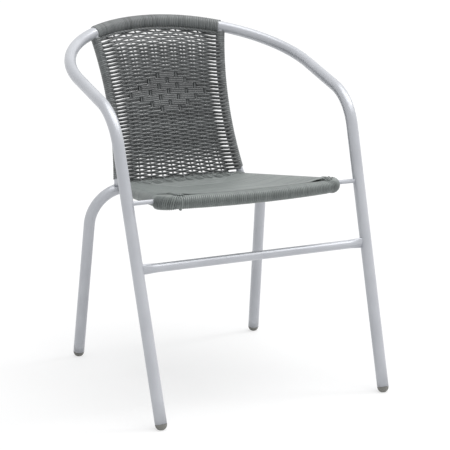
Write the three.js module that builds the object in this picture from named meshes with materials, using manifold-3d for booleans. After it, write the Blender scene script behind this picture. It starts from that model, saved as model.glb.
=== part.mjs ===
// Rattan bistro chair: a bent metal tube frame with a woven strand back and seat.
// Millimetres, Z up, the front of the chair faces minus Y, the origin is on the floor under the middle.
import * as THREE from "three";
import { mergeVertices } from "three/addons/utils/BufferGeometryUtils.js";
import Module from "manifold-3d";

const wasm = await Module();
wasm.setup();

// Clearance between pieces that touch
const seatGap = 0.3;

// Main frame tube
const frameTubeDiameter = 24;
const frameTubeWall = 1.2;
const frameTubeSides = 16;
const frameBoreSides = 8;

// Front legs, arms and top rail, all one bent tube
const frontFootHalfSpan = 252;
const frontFootReach = 301;
const armCornerHalfSpan = 265.9;
const armCornerReach = 119.1;
const armCornerHeight = 589.6;
const armBendRadius = 112.5;
const armWideHalfSpan = 269.7;
const armWideSetback = 58.2;
const armWideHeight = 641.1;
const railSetback = 296.9;
const railHeight = 723;
const bowLagShare = 0.0745;
const armBendSteps = 7;
const bowSteps = 15;

// Rear legs and cross bar, one bent tube
const rearFootHalfSpan = 218.9;
const rearFootSetback = 216;
const rearTopHalfSpan = 205.1;
const crossBarSetback = 151.6;
const crossBarHeight = 384.2;
const rearBendRadius = 79.5;
const rearBendSteps = 7;

// Back posts
const postDiameter = 16;
const postWall = 1;
const postFootHalfSpan = 149.9;
const postFootForward = 10.1;
const postWaistHalfSpan = 134.8;
const postWaistHeight = 538;
const postTopHalfSpan = 153;
const postEndLift = 7;
const postSteps = 10;
const postSides = 12;
const postBoreSides = 6;

// Seat frame, one bent tube open to the rear
const seatTubeDiameter = 20;
const seatTubeWall = 1.2;
const seatTubeSides = 12;
const seatBoreSides = 6;
const seatFrontHalfSpan = 200.2;
const seatFrontReach = 198.3;
const seatFrontHeight = 423.7;
const seatFrontBulge = 23;
const seatCornerRadius = 38;
const seatRearHalfSpan = 133;
const seatRearDrop = 3;
const seatCornerSteps = 5;
const seatFrontSteps = 8;

// Stub rods that hold the seat frame to the front legs
const stubDiameter = 9;
const stubRise = 2;
const stubSides = 12;

// Front stretcher with pressed ends
const stretcherDiameter = 18;
const stretcherWall = 1;
const stretcherHeight = 298.4;
const stretcherSides = 16;
const stretcherBoreSides = 8;
const pressLength = 44;
const pressedHeightShare = 1.2;
const pressedDepthShare = 0.55;
const pressSteps = 5;

// Foot caps
const capSkirtHeight = 1;
const capDomeHeight = 11.5;
const capSoleDepth = 1;
const capStemClearance = 0.5;
const capStemLength = 20;
const capSides = 16;
const capDomeSteps = 4;

// Strands: thickness of the wound layer, and the space between turns
const windingThickness = 2.4;
const railWindingThickness = 1.5;
const turnSpace = 1;
const railTurns = 24;
const railTurnSteps = 10;
const railWindingPostSpace = 4;
const frontTurns = 24;
const frontTurnSteps = 8;
const postTurns = 17;
const postTurnSteps = 8;
const postWindingEndSpace = 6;
const sideTurns = 10;
const sideTurnSteps = 8;
const sideWindingStubSpace = 2;
const sideWindingRearSpace = 8;
const barTurns = 8;
const barTurnSteps = 8;
const barWindingSpace = 4;

// Woven back panel and the upright strands that it is woven round
const warpPlaceShares = [
  -0.696, -0.49, -0.295, -0.111, 0.06, 0.237, 0.398, 0.57, 0.756,
];
const warpWidth = 3.6;
const warpThickness = 1.6;
const warpClearance = 0.3;
const backSheetThickness = 3;
const backRibThickness = 4.6;
const backRibWidth = 9;
const backEdgeWidth = 5;
const backBendDepth = 30;
const backBulge = 11;
const backNormalShare = 0.02;

// Grid of openings between the upright strands
const openingRows = 7;
const openingHeight = 7;

// Strand along the under side of the top rail
const edgeStrandDiameter = 4;
const edgeStrandForwardShare = 0.62;
const edgeStrandSteps = 20;
const edgeStrandSides = 6;

// Woven seat panel
const seatPanelHalfDepth = 12;
const seatPanelSag = 11;
const seatPanelLift = 3;
const seatPanelDishReach = 110;
const seatPanelCornerSpace = 8;
const seatPanelTuck = 0.2;
const seatPanelColumns = 8;
const seatPanelRows = 8;
const seatPanelShoulderShare = 0.07;

const tubeRadius = frameTubeDiameter / 2;
const capLift = capSkirtHeight + capDomeHeight - capSoleDepth;
const postRadius = postDiameter / 2;
const seatTubeRadius = seatTubeDiameter / 2;
const up = new THREE.Vector3(0, 0, 1);

// A path through fixed stations, mitred at each one
class StationPath extends THREE.Curve {
  constructor(stations) {
    super();
    this.stations = stations;
    this.last = stations.length - 1;
  }
  getUtoTmapping(u) {
    return u;
  }
  getPoint(t, target = new THREE.Vector3()) {
    const at = THREE.MathUtils.clamp(t, 0, 1) * this.last;
    const i = Math.min(Math.floor(at), this.last - 1);
    return target.lerpVectors(this.stations[i], this.stations[i + 1], at - i);
  }
  legDirection(i) {
    const leg = THREE.MathUtils.clamp(i, 0, this.last - 1);
    return this.stations[leg + 1].clone().sub(this.stations[leg]).normalize();
  }
  getTangent(t, target = new THREE.Vector3()) {
    const i = Math.round(t * this.last);
    return target
      .copy(this.legDirection(i - 1))
      .add(this.legDirection(i))
      .normalize();
  }
  // Point and direction at a length along the path
  atLength(length) {
    let rest = length;
    for (let i = 0; i < this.last; i++) {
      const step = this.stations[i].distanceTo(this.stations[i + 1]);
      if (rest <= step || i === this.last - 1) {
        const along = this.legDirection(i);
        const point = this.stations[i].clone().addScaledVector(along, rest);
        const share = THREE.MathUtils.clamp(rest / step, 0, 1);
        const from = this.getTangent(i / this.last);
        const to = this.getTangent((i + 1) / this.last);
        return { point, along: from.lerp(to, share).normalize() };
      }
      rest -= step;
    }
  }
  totalLength() {
    let sum = 0;
    for (let i = 0; i < this.last; i++) {
      sum += this.stations[i].distanceTo(this.stations[i + 1]);
    }
    return sum;
  }
}

// Points of a corner rounded to a radius, from the first leg to the second
function roundedCorner(before, corner, after, radius, steps) {
  const toBefore = before.clone().sub(corner).normalize();
  const toAfter = after.clone().sub(corner).normalize();
  const opening = toBefore.angleTo(toAfter);
  const setback = radius / Math.tan(opening / 2);
  const inward = toBefore.clone().add(toAfter).normalize();
  const centre = corner
    .clone()
    .addScaledVector(inward, radius / Math.sin(opening / 2));
  const start = corner.clone().addScaledVector(toBefore, setback).sub(centre);
  const end = corner.clone().addScaledVector(toAfter, setback).sub(centre);
  const sweep = Math.PI - opening;
  const points = [];
  for (let i = 0; i <= steps; i++) {
    const share = i / steps;
    const point = start
      .clone()
      .multiplyScalar(Math.sin((1 - share) * sweep) / Math.sin(sweep));
    point.addScaledVector(end, Math.sin(share * sweep) / Math.sin(sweep));
    points.push(point.add(centre));
  }
  return points;
}

function mirrored(points) {
  return points.map((p) => new THREE.Vector3(-p.x, p.y, p.z));
}

// A path that is symmetrical about the middle plane, from its right half that ends on that plane
function symmetricPath(rightHalf) {
  const left = mirrored(rightHalf);
  return new StationPath([...left, ...rightHalf.slice(0, -1).reverse()]);
}

function circlePoints(radius, sides) {
  const points = [];
  for (let i = 0; i < sides; i++) {
    const turn = (2 * Math.PI * (i + 0.5)) / sides;
    points.push(
      new THREE.Vector2(radius * Math.cos(turn), radius * Math.sin(turn)),
    );
  }
  return points;
}

// A round bar or tube along a path
function sweep(path, radius, sides, boreRadius, boreSides) {
  const shape = new THREE.Shape(circlePoints(radius, sides));
  if (boreRadius) {
    shape.holes.push(new THREE.Path(circlePoints(boreRadius, boreSides)));
  }
  return new THREE.ExtrudeGeometry(shape, {
    steps: path.last,
    bevelEnabled: false,
    extrudePath: path,
  });
}

function solidOf(geometry) {
  const bare = geometry.clone();
  bare.deleteAttribute("normal");
  bare.deleteAttribute("uv");
  const merged = mergeVertices(bare);
  return new wasm.Manifold(
    new wasm.Mesh({
      numProp: 3,
      vertProperties: new Float32Array(merged.attributes.position.array),
      triVerts: new Uint32Array(merged.index.array),
    }),
  );
}

function geometryOf(solid) {
  const mesh = solid.getMesh();
  const indexed = new THREE.BufferGeometry();
  indexed.setAttribute(
    "position",
    new THREE.BufferAttribute(new Float32Array(mesh.vertProperties), 3),
  );
  indexed.setIndex(new THREE.BufferAttribute(mesh.triVerts, 1));
  const flat = indexed.toNonIndexed();
  flat.computeVertexNormals();
  return flat;
}

// Walls from ring to ring, apart from the cells that stay open, with a place for the two ends
function loftRings(rings, holeSets = [], isOpen = () => false) {
  const points = [];
  const faces = [];
  const starts = rings.map((ring, k) => {
    const start = points.length;
    points.push(...ring);
    const holes = (holeSets[k] || []).map((hole) => {
      const holeStart = points.length;
      points.push(...hole);
      return { start: holeStart, count: hole.length };
    });
    return { start, count: ring.length, holes };
  });
  const wall = (a, b, count, inward, skip) => {
    for (let i = 0; i < count; i++) {
      if (skip && skip(i)) continue;
      const j = (i + 1) % count;
      const quad = [a + i, a + j, b + j, b + i];
      if (inward) quad.reverse();
      faces.push(quad[0], quad[1], quad[2], quad[0], quad[2], quad[3]);
    }
  };
  for (let k = 0; k + 1 < starts.length; k++) {
    wall(starts[k].start, starts[k + 1].start, starts[k].count, false, (i) =>
      isOpen(k, i),
    );
    starts[k].holes.forEach((hole, h) => {
      wall(hole.start, starts[k + 1].holes[h].start, hole.count, true);
    });
  }
  return { points, faces, starts };
}

// Lines the openings of one row of the woven back, from the front face to the rear face
function openCells(loft, k) {
  const low = loft.starts[k];
  const high = loft.starts[k + 1];
  const last = low.count - 1;
  for (let i = 1; i < low.count / 2 - 1; i += 3) {
    const front = [low.start + i, low.start + i + 1];
    front.push(high.start + i + 1, high.start + i);
    const rear = [low.start + last - i, low.start + last - i - 1];
    rear.push(high.start + last - i - 1, high.start + last - i);
    for (let n = 0; n < 4; n++) {
      const m = (n + 1) % 4;
      loft.faces.push(front[n], front[m], rear[m]);
      loft.faces.push(front[n], rear[m], rear[n]);
    }
  }
}

// Fills one end of a loft, from the flat outline and holes that its rings stand for
function fillEnd(loft, end, outline, holes, reversed) {
  const order = [];
  for (let i = 0; i < end.count; i++) order.push(end.start + i);
  end.holes.forEach((hole) => {
    for (let i = 0; i < hole.count; i++) order.push(hole.start + i);
  });
  THREE.ShapeUtils.triangulateShape(outline, holes).forEach(([a, b, c]) => {
    const face = [order[a], order[b], order[c]];
    if (reversed) face.reverse();
    loft.faces.push(...face);
  });
}

function geometryOfLoft(loft) {
  const indexed = new THREE.BufferGeometry();
  indexed.setFromPoints(loft.points);
  indexed.setIndex(loft.faces);
  const flat = indexed.toNonIndexed();
  flat.computeVertexNormals();
  return flat;
}

// Right half of the front leg, arm and top rail, from the floor to the middle of the rail
function hoopHalf() {
  const foot = new THREE.Vector3(frontFootHalfSpan, -frontFootReach, 0);
  const corner = new THREE.Vector3(
    armCornerHalfSpan,
    -armCornerReach,
    armCornerHeight,
  );
  const wide = new THREE.Vector3(
    armWideHalfSpan,
    armWideSetback,
    armWideHeight,
  );
  const legDirection = corner.clone().sub(foot).normalize();
  const end = foot.clone().addScaledVector(legDirection, capLift);
  const half = [
    end,
    ...roundedCorner(foot, corner, wide, armBendRadius, armBendSteps),
  ];
  for (let i = 0; i <= bowSteps; i++) {
    half.push(bowPoint((Math.PI / 2) * (i / bowSteps)));
  }
  return { foot, legDirection, corner, half };
}

// A point of the bowed top rail, from its widest place to its middle
function bowPoint(angle) {
  const back = Math.sin(angle);
  const rise = back - bowLagShare * back * (1 - back);
  return new THREE.Vector3(
    armWideHalfSpan * Math.cos(angle),
    armWideSetback + (railSetback - armWideSetback) * back,
    armWideHeight + (railHeight - armWideHeight) * rise,
  );
}

// Setback and height of the rail axis above a place across the chair
function railAt(x) {
  const point = bowPoint(Math.acos(Math.abs(x) / armWideHalfSpan));
  point.x = x;
  return point;
}

function archHalf() {
  const foot = new THREE.Vector3(rearFootHalfSpan, rearFootSetback, 0);
  const corner = new THREE.Vector3(
    rearTopHalfSpan,
    crossBarSetback,
    crossBarHeight,
  );
  const middle = new THREE.Vector3(0, crossBarSetback, crossBarHeight);
  const legDirection = corner.clone().sub(foot).normalize();
  const end = foot.clone().addScaledVector(legDirection, capLift);
  const bend = roundedCorner(
    foot,
    corner,
    middle,
    rearBendRadius,
    rearBendSteps,
  );
  return { foot, legDirection, half: [end, ...bend, middle] };
}

// Place of a post axis at a height: waisted, and leaning back to meet the rail
function postAt(height) {
  const top = railAt(postTopHalfSpan);
  const end = height < postWaistHeight ? crossBarHeight : top.z;
  const spread = height < postWaistHeight ? postFootHalfSpan : postTopHalfSpan;
  const share = (height - postWaistHeight) / (end - postWaistHeight);
  const climb = (height - crossBarHeight) / (top.z - crossBarHeight);
  const footY = crossBarSetback - postFootForward;
  return new THREE.Vector3(
    postWaistHalfSpan + (spread - postWaistHalfSpan) * share * share,
    footY + (top.y - footY) * climb,
    height,
  );
}

function postPath(side, from, to, steps) {
  const stations = [];
  for (let i = 0; i <= steps; i++) {
    const point = postAt(from + ((to - from) * i) / steps);
    point.x *= side;
    stations.push(point);
  }
  return new StationPath(stations);
}

function seatFrontPoint(x) {
  const share = x / seatFrontHalfSpan;
  return new THREE.Vector3(
    x,
    -seatFrontReach - seatFrontBulge * (1 - share * share),
    seatFrontHeight,
  );
}

// Right half of the seat frame, from the cross bar to the middle of the front rail
function seatHalf() {
  const rear = new THREE.Vector3(
    seatRearHalfSpan,
    crossBarSetback,
    crossBarHeight - seatRearDrop,
  );
  const corner = seatFrontPoint(seatFrontHalfSpan);
  const inner = seatFrontPoint(seatFrontHalfSpan - seatCornerRadius);
  const bend = roundedCorner(
    rear,
    corner,
    inner,
    seatCornerRadius,
    seatCornerSteps,
  );
  const half = [rear, ...bend];
  const bendEnd = bend[bend.length - 1].x;
  for (let i = 1; i <= seatFrontSteps / 2; i++) {
    half.push(seatFrontPoint(bendEnd * (1 - (2 * i) / seatFrontSteps)));
  }
  return { rear, corner, bend, half };
}

const hoop = hoopHalf();
const hoopPath = symmetricPath(hoop.half);
const arch = archHalf();
const archPath = symmetricPath(arch.half);
const seat = seatHalf();
const seatPath = symmetricPath(seat.half);

// Place of the side rail at a distance from the front to the rear
function sideRailAt(y) {
  const share = (y - seat.corner.y) / (seat.rear.y - seat.corner.y);
  return seat.corner.clone().lerp(seat.rear, share);
}

function legAt(height) {
  return hoop.foot
    .clone()
    .addScaledVector(hoop.legDirection, height / hoop.legDirection.z);
}

// Place of a stub rod, where the leg crosses the slope of the side rail
function stubPlace() {
  const legSlope = hoop.legDirection.y / hoop.legDirection.z;
  const railSlope =
    (seat.rear.z - seat.corner.z) / (seat.rear.y - seat.corner.y);
  const base = seat.corner.z + stubRise;
  const height =
    (base + railSlope * (hoop.foot.y - seat.corner.y)) /
    (1 - railSlope * legSlope);
  return { y: legAt(height).y, height };
}

function armHoop() {
  const bore = tubeRadius - frameTubeWall;
  return sweep(hoopPath, tubeRadius, frameTubeSides, bore, frameBoreSides);
}

function rearLegArch() {
  const bore = tubeRadius - frameTubeWall;
  return sweep(archPath, tubeRadius, frameTubeSides, bore, frameBoreSides);
}

// Cutters that leave the joint clearance round each tube
const hoopCutter = solidOf(
  sweep(hoopPath, tubeRadius + seatGap, frameTubeSides),
);
const archCutter = solidOf(
  sweep(archPath, tubeRadius + seatGap, frameTubeSides),
);
const seatCutter = solidOf(
  sweep(seatPath, seatTubeRadius + seatGap, seatTubeSides),
);

function backPost(side) {
  const path = postPath(
    side,
    crossBarHeight + postEndLift,
    railAt(postTopHalfSpan).z,
    postSteps,
  );
  const bore = postRadius - postWall;
  const tube = solidOf(sweep(path, postRadius, postSides, bore, postBoreSides));
  return geometryOf(tube.subtract(hoopCutter).subtract(archCutter));
}

function seatFrame() {
  const bore = seatTubeRadius - seatTubeWall;
  const tube = solidOf(
    sweep(seatPath, seatTubeRadius, seatTubeSides, bore, seatBoreSides),
  );
  return geometryOf(tube.subtract(archCutter));
}

// Short rod from the side rail of the seat frame to the front leg
function seatStub(side) {
  const { y, height } = stubPlace();
  const path = new StationPath([
    new THREE.Vector3(side * sideRailAt(y).x, y, height),
    new THREE.Vector3(side * legAt(height).x, y, height),
  ]);
  const rod = solidOf(sweep(path, stubDiameter / 2, stubSides));
  return geometryOf(rod.subtract(hoopCutter).subtract(seatCutter));
}

// Stretcher tube, round in the middle and pressed flat near each leg
function frontStretcher() {
  const y = legAt(stretcherHeight).y;
  const halfLength = legAt(stretcherHeight).x;
  const stations = [];
  for (let i = 0; i <= pressSteps; i++) {
    const x = halfLength - (pressLength * i) / pressSteps;
    stations.push(new THREE.Vector3(x, y, stretcherHeight));
  }
  const left = mirrored(stations);
  const path = new StationPath([...left, ...stations.slice().reverse()]);
  const radius = stretcherDiameter / 2;
  const tube = sweep(
    path,
    radius,
    stretcherSides,
    radius - stretcherWall,
    stretcherBoreSides,
  );
  const position = tube.attributes.position;
  for (let i = 0; i < position.count; i++) {
    const inset = halfLength - Math.abs(position.getX(i));
    const press =
      1 - THREE.MathUtils.smoothstep(inset, tubeRadius, pressLength);
    const tall = 1 + (pressedHeightShare - 1) * press;
    const deep = 1 + (pressedDepthShare - 1) * press;
    position.setY(i, y + (position.getY(i) - y) * deep);
    const rise = position.getZ(i) - stretcherHeight;
    position.setZ(i, stretcherHeight + rise * tall);
  }
  return geometryOf(solidOf(tube).subtract(hoopCutter));
}

// Domed foot cap with a stem in the tube bore and a flat sole on the floor
function footCap(foot, direction) {
  const radius = tubeRadius;
  const boreFlat =
    (tubeRadius - frameTubeWall) * Math.cos(Math.PI / frameBoreSides);
  const stem = boreFlat - capStemClearance;
  const profile = [];
  for (let i = 0; i <= capDomeSteps; i++) {
    const turn = (Math.PI / 2) * (i / capDomeSteps);
    profile.push(
      new THREE.Vector2(
        i === 0 ? 0 : radius * Math.sin(turn),
        -capSkirtHeight - capDomeHeight * Math.cos(turn),
      ),
    );
  }
  profile.push(new THREE.Vector2(radius, -seatGap));
  profile.push(new THREE.Vector2(stem, -seatGap));
  profile.push(new THREE.Vector2(stem, capStemLength));
  profile.push(new THREE.Vector2(0, capStemLength));
  const turned = new THREE.LatheGeometry(profile, capSides);
  turned.applyQuaternion(
    new THREE.Quaternion().setFromUnitVectors(
      new THREE.Vector3(0, 1, 0),
      direction,
    ),
  );
  const place = foot.clone().addScaledVector(direction, capLift);
  turned.translate(place.x, place.y, place.z);
  const span = 4 * frameTubeDiameter;
  const floor = new THREE.BoxGeometry(span, span, frameTubeDiameter);
  floor.translate(foot.x, foot.y, -frameTubeDiameter / 2);
  return geometryOf(solidOf(turned).subtract(solidOf(floor)));
}

// One flat strand wound round a tube as an unbroken helix
function winding(name, path, from, to, turns, turnSteps, innerRadius, depth) {
  const pitch = (to - from) / (turns + 1);
  const width = pitch - turnSpace;
  const flatShare = 1 / Math.cos(Math.PI / turnSteps);
  const inner = innerRadius * flatShare;
  const outer = Math.max(innerRadius + depth, inner + depth / 2);
  const rings = [];
  const count = turns * turnSteps;
  const side = (length, radius, turn) => {
    const { point, along } = path.atLength(length);
    const first = up.clone().addScaledVector(along, -up.dot(along));
    if (first.length() < 0.5) {
      first.set(1, 0, 0).addScaledVector(along, -along.x);
    }
    first.normalize();
    const second = along.clone().cross(first);
    return point
      .addScaledVector(first, radius * Math.cos(turn))
      .addScaledVector(second, radius * Math.sin(turn));
  };
  for (let k = 0; k <= count; k++) {
    const turn = (2 * Math.PI * k) / turnSteps;
    const middle = from + pitch / 2 + (to - from - pitch) * (k / count);
    const low = middle - width / 2;
    const high = middle + width / 2;
    rings.push([
      side(low, inner, turn),
      side(high, inner, turn),
      side(high, outer, turn),
      side(low, outer, turn),
    ]);
  }
  const loft = loftRings(rings);
  const outline = [
    new THREE.Vector2(0, 0),
    new THREE.Vector2(1, 0),
    new THREE.Vector2(1, 1),
    new THREE.Vector2(0, 1),
  ];
  fillEnd(loft, loft.starts[0], outline, [], true);
  fillEnd(loft, loft.starts[count], outline, [], false);
  const gap = leastTurnGap(rings, turnSteps);
  console.log(name + ": least gap to itself " + gap.toFixed(2) + " mm");
  return geometryOfLoft(loft);
}

// Least distance between the facing edges of one turn and the next
function leastTurnGap(rings, turnSteps) {
  let least = Infinity;
  const segment = new THREE.Line3();
  const near = new THREE.Vector3();
  for (let k = 0; k + turnSteps + 1 < rings.length; k++) {
    for (const corner of [1, 2]) {
      const middle = rings[k][corner].clone().lerp(rings[k + 1][corner], 0.5);
      for (const point of [rings[k][corner], middle]) {
        for (let n = k + turnSteps - 1; n <= k + turnSteps; n++) {
          for (const facing of [0, 3]) {
            segment.set(rings[n][facing], rings[n + 1][facing]);
            segment.closestPointToPoint(point, true, near);
            least = Math.min(least, near.distanceTo(point));
          }
          segment.set(rings[n][0], rings[n][3]);
          segment.closestPointToPoint(point, true, near);
          least = Math.min(least, near.distanceTo(point));
        }
      }
    }
  }
  return least;
}

const railWindingHalfSpan =
  postTopHalfSpan - postRadius - railWindingPostSpace;

function railWinding() {
  const stations = [];
  for (let i = -bowSteps; i <= bowSteps; i++) {
    stations.push(railAt((railWindingHalfSpan * i) / bowSteps));
  }
  const path = new StationPath(stations);
  return winding(
    "rail_winding",
    path,
    0,
    path.totalLength(),
    railTurns,
    railTurnSteps,
    tubeRadius + seatGap,
    railWindingThickness,
  );
}

function frontWinding() {
  const path = symmetricPath(seat.half.slice(seat.bend.length));
  return winding(
    "seat_front_winding",
    path,
    0,
    path.totalLength(),
    frontTurns,
    frontTurnSteps,
    seatTubeRadius + seatGap,
    windingThickness,
  );
}

function postWinding(side, name) {
  const space = tubeRadius + postWindingEndSpace;
  const path = postPath(
    side,
    crossBarHeight + space,
    railAt(postTopHalfSpan).z - space,
    2 * postSteps,
  );
  return winding(
    name,
    path,
    0,
    path.totalLength(),
    postTurns,
    postTurnSteps,
    postRadius + seatGap,
    windingThickness,
  );
}

function sideWinding(side, name) {
  const stubEdge = stubPlace().y + stubDiameter / 2;
  const start = sideRailAt(stubEdge + sideWindingStubSpace);
  const end = sideRailAt(crossBarSetback - tubeRadius - sideWindingRearSpace);
  start.x *= side;
  end.x *= side;
  const path = new StationPath([start, end]);
  return winding(
    name,
    path,
    0,
    path.totalLength(),
    sideTurns,
    sideTurnSteps,
    seatTubeRadius + seatGap,
    windingThickness,
  );
}

function barWinding() {
  const reach =
    seatRearHalfSpan -
    seatTubeRadius -
    windingThickness -
    barWindingSpace;
  const path = new StationPath([
    new THREE.Vector3(-reach, crossBarSetback, crossBarHeight),
    new THREE.Vector3(reach, crossBarSetback, crossBarHeight),
  ]);
  return winding(
    "rear_bar_winding",
    path,
    0,
    path.totalLength(),
    barTurns,
    barTurnSteps,
    tubeRadius + seatGap,
    railWindingThickness,
  );
}

const railLayer = (tubeRadius + seatGap) / Math.cos(Math.PI / railTurnSteps);
const railOuter = railLayer + railWindingThickness;
const barLayer = (tubeRadius + seatGap) / Math.cos(Math.PI / barTurnSteps);
const barOuter = barLayer + railWindingThickness;
const postLayer = (postRadius + seatGap) / Math.cos(Math.PI / postTurnSteps);
const postOuter = postLayer + windingThickness;
const sideLayer =
  (seatTubeRadius + seatGap) / Math.cos(Math.PI / sideTurnSteps);
const sideOuter = sideLayer + windingThickness;
const frontLayer =
  (seatTubeRadius + seatGap) / Math.cos(Math.PI / frontTurnSteps);
const frontOuter = frontLayer + windingThickness;

// Middle surface of the woven back: across from -1 to 1, level from 0 to 1
function backSurface(across, level) {
  const footHeight = crossBarHeight + barOuter + backRibThickness / 2;
  const top = railAt(across * (railWindingHalfSpan - backRibWidth / 2));
  top.z -= railOuter + seatGap + backRibThickness / 2;
  const height = footHeight + (top.z - footHeight) * level;
  const post = postAt(height);
  const halfWidth = post.x - postOuter - seatGap;
  const below = THREE.MathUtils.clamp((top.z - height) / backBendDepth, 0, 1);
  const bend = (1 - below) * (1 - below);
  const bulge = backBulge * (1 - across * across) * 4 * level * (1 - level);
  const y = post.y + (top.y - post.y) * bend + bulge;
  return new THREE.Vector3(across * halfWidth, y, height);
}

// Places and half thicknesses across one level of the woven back
function backSection(level) {
  const halfWidth = backSurface(1, level).x;
  const offset = backRibWidth / 2 / halfWidth;
  const edge = 1 - backEdgeWidth / halfWidth;
  const places = [
    { across: -1, half: backSheetThickness / 2 },
    { across: -edge, half: backSheetThickness / 2 },
  ];
  warpPlaceShares.forEach((share) => {
    places.push({ across: share - offset, half: backSheetThickness / 2 });
    places.push({ across: share, half: backRibThickness / 2 });
    places.push({ across: share + offset, half: backSheetThickness / 2 });
  });
  places.push({ across: edge, half: backSheetThickness / 2 });
  places.push({ across: 1, half: backSheetThickness / 2 });
  return { places, halfWidth };
}

// Levels of the panel's rings: its two ends, and the foot and head of each row of openings
function panelLevels() {
  const height = backSurface(0, 1).z - backSurface(0, 0).z;
  const half = openingHeight / 2 / height;
  const levels = [0];
  for (let row = 0; row < openingRows; row++) {
    const middle = (row + 0.5) / openingRows;
    levels.push(middle - half, middle + half);
  }
  levels.push(1);
  return levels;
}

function backFaceNormal(across, level) {
  const low = backSurface(across, Math.max(level - backNormalShare, 0));
  const high = backSurface(across, Math.min(level + backNormalShare, 1));
  const rise = high.sub(low).normalize();
  return new THREE.Vector3(0, -rise.z, rise.y).normalize();
}

function backWeave() {
  const rings = [];
  const holeSets = [];
  const levels = panelLevels();
  levels.forEach((level) => {
    const { places, halfWidth } = backSection(level);
    const at = (place, sign) =>
      backSurface(place.across, level).addScaledVector(
        backFaceNormal(place.across, level),
        sign * place.half,
      );
    const front = places.map((place) => at(place, 1));
    const back = places.map((place) => at(place, -1)).reverse();
    rings.push([...front, ...back]);
    const slotHalf = warpWidth / 2 + warpClearance;
    const slotDeep = warpThickness / 2 + warpClearance;
    const slot = (share) =>
      [
        [-1, 1],
        [1, 1],
        [1, -1],
        [-1, -1],
      ].map(([a, b]) => ({
        across: share + (a * slotHalf) / halfWidth,
        half: b * slotDeep,
      }));
    holeSets.push(
      warpPlaceShares.map((share) => slot(share).map((place) => at(place, 1))),
    );
  });
  const last = levels.length - 1;
  const flat = (points) => points.map((p) => new THREE.Vector2(p.x, p.y));
  const outline = flat(rings[last]);
  const holes = holeSets[last].map(flat);
  const isOpen = (k, side) => {
    const count = rings[0].length / 2;
    const place = side < count ? side : 2 * count - 2 - side;
    return k % 2 === 1 && k < last && place % 3 === 1;
  };
  const loft = loftRings(rings, holeSets, isOpen);
  for (let k = 1; k < last; k += 2) openCells(loft, k);
  fillEnd(loft, loft.starts[0], outline, holes, true);
  fillEnd(loft, loft.starts[last], outline, holes, false);
  return geometryOfLoft(loft);
}

function warpStrand(share) {
  const rings = [];
  panelLevels().forEach((level) => {
    const halfWidth = backSurface(1, level).x;
    const face = backFaceNormal(share, level);
    rings.push(
      [
        [-1, 1],
        [1, 1],
        [1, -1],
        [-1, -1],
      ].map(([a, b]) => {
        const point = backSurface(
          share + (a * warpWidth) / 2 / halfWidth,
          level,
        );
        return point.addScaledVector(face, (b * warpThickness) / 2);
      }),
    );
  });
  const loft = loftRings(rings);
  const outline = [
    new THREE.Vector2(-1, -1),
    new THREE.Vector2(1, -1),
    new THREE.Vector2(1, 1),
    new THREE.Vector2(-1, 1),
  ];
  fillEnd(loft, loft.starts[0], outline, [], true);
  fillEnd(loft, loft.starts[rings.length - 1], outline, [], false);
  return geometryOfLoft(loft);
}

// Strand that edges the weave, in front of it and under the wound rail
function edgeStrand() {
  const places = [];
  const reach = railWindingHalfSpan - backRibWidth;
  for (let i = -edgeStrandSteps / 2; i <= edgeStrandSteps / 2; i++) {
    places.push(railAt((2 * reach * i) / edgeStrandSteps));
  }
  const rail = new StationPath(places);
  const offset = railOuter + seatGap + edgeStrandDiameter / 2;
  const lean = Math.asin(edgeStrandForwardShare);
  const stations = places.map((point, i) => {
    const along = rail.getTangent(i / rail.last);
    const side = new THREE.Vector3(0, -Math.sin(lean), -Math.cos(lean));
    side.addScaledVector(along, -side.dot(along)).normalize();
    return point.clone().addScaledVector(side, offset);
  });
  return sweep(
    new StationPath(stations),
    edgeStrandDiameter / 2,
    edgeStrandSides,
  );
}

// Woven seat panel inside the wound frame, as deep as the rails and dished in the middle
function seatWeave() {
  const rearY = crossBarSetback - barOuter + seatPanelTuck;
  const place = (across, along, upper) => {
    const narrow =
      seatFrontHalfSpan - seatCornerRadius - seatPanelCornerSpace;
    const front = seatFrontPoint(across * narrow).y + frontOuter + seatGap;
    const y = front + (rearY - front) * along;
    const wide = sideRailAt(y).x - sideOuter - seatGap;
    const shoulder = Math.min(along / seatPanelShoulderShare, 1);
    const x = across * (narrow + (wide - narrow) * shoulder);
    const nearest = Math.min(
      sideRailAt(y).x - Math.abs(x),
      y - seatFrontPoint(x).y,
      crossBarSetback - y,
    );
    const dish = THREE.MathUtils.smoothstep(nearest, 0, seatPanelDishReach);
    const offset = upper
      ? seatPanelHalfDepth - seatPanelSag * dish
      : -seatPanelHalfDepth + seatPanelLift * dish;
    return new THREE.Vector3(x, y, sideRailAt(y).z + offset);
  };
  const alongShares = [0, seatPanelShoulderShare];
  for (let k = 1; k <= seatPanelRows; k++) {
    const rest = 1 - seatPanelShoulderShare;
    alongShares.push(seatPanelShoulderShare + (rest * k) / seatPanelRows);
  }
  const rings = alongShares.map((along) => {
    const upper = [];
    const lower = [];
    for (let i = 0; i <= seatPanelColumns; i++) {
      const across = (2 * i) / seatPanelColumns - 1;
      upper.push(place(across, along, true));
      lower.push(place(across, along, false));
    }
    return [...upper, ...lower.reverse()];
  });
  const middle = rings[Math.round(rings.length / 2)];
  const outline = middle.map((p) => new THREE.Vector2(p.x, -p.z));
  const loft = loftRings(rings);
  fillEnd(loft, loft.starts[0], outline, [], true);
  fillEnd(loft, loft.starts[rings.length - 1], outline, [], false);
  return geometryOfLoft(loft);
}

// Looks of the pieces
const paint = { color: 0xb9bec8, roughness: 0.38, metalness: 0.25 };
const strand = { color: 0x686a6a, roughness: 0.62, metalness: 0 };
const seatStrand = { color: 0x8f9793, roughness: 0.6, metalness: 0 };
const capPlastic = { color: 0x969191, roughness: 0.55, metalness: 0 };

const chair = new THREE.Group();

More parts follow.
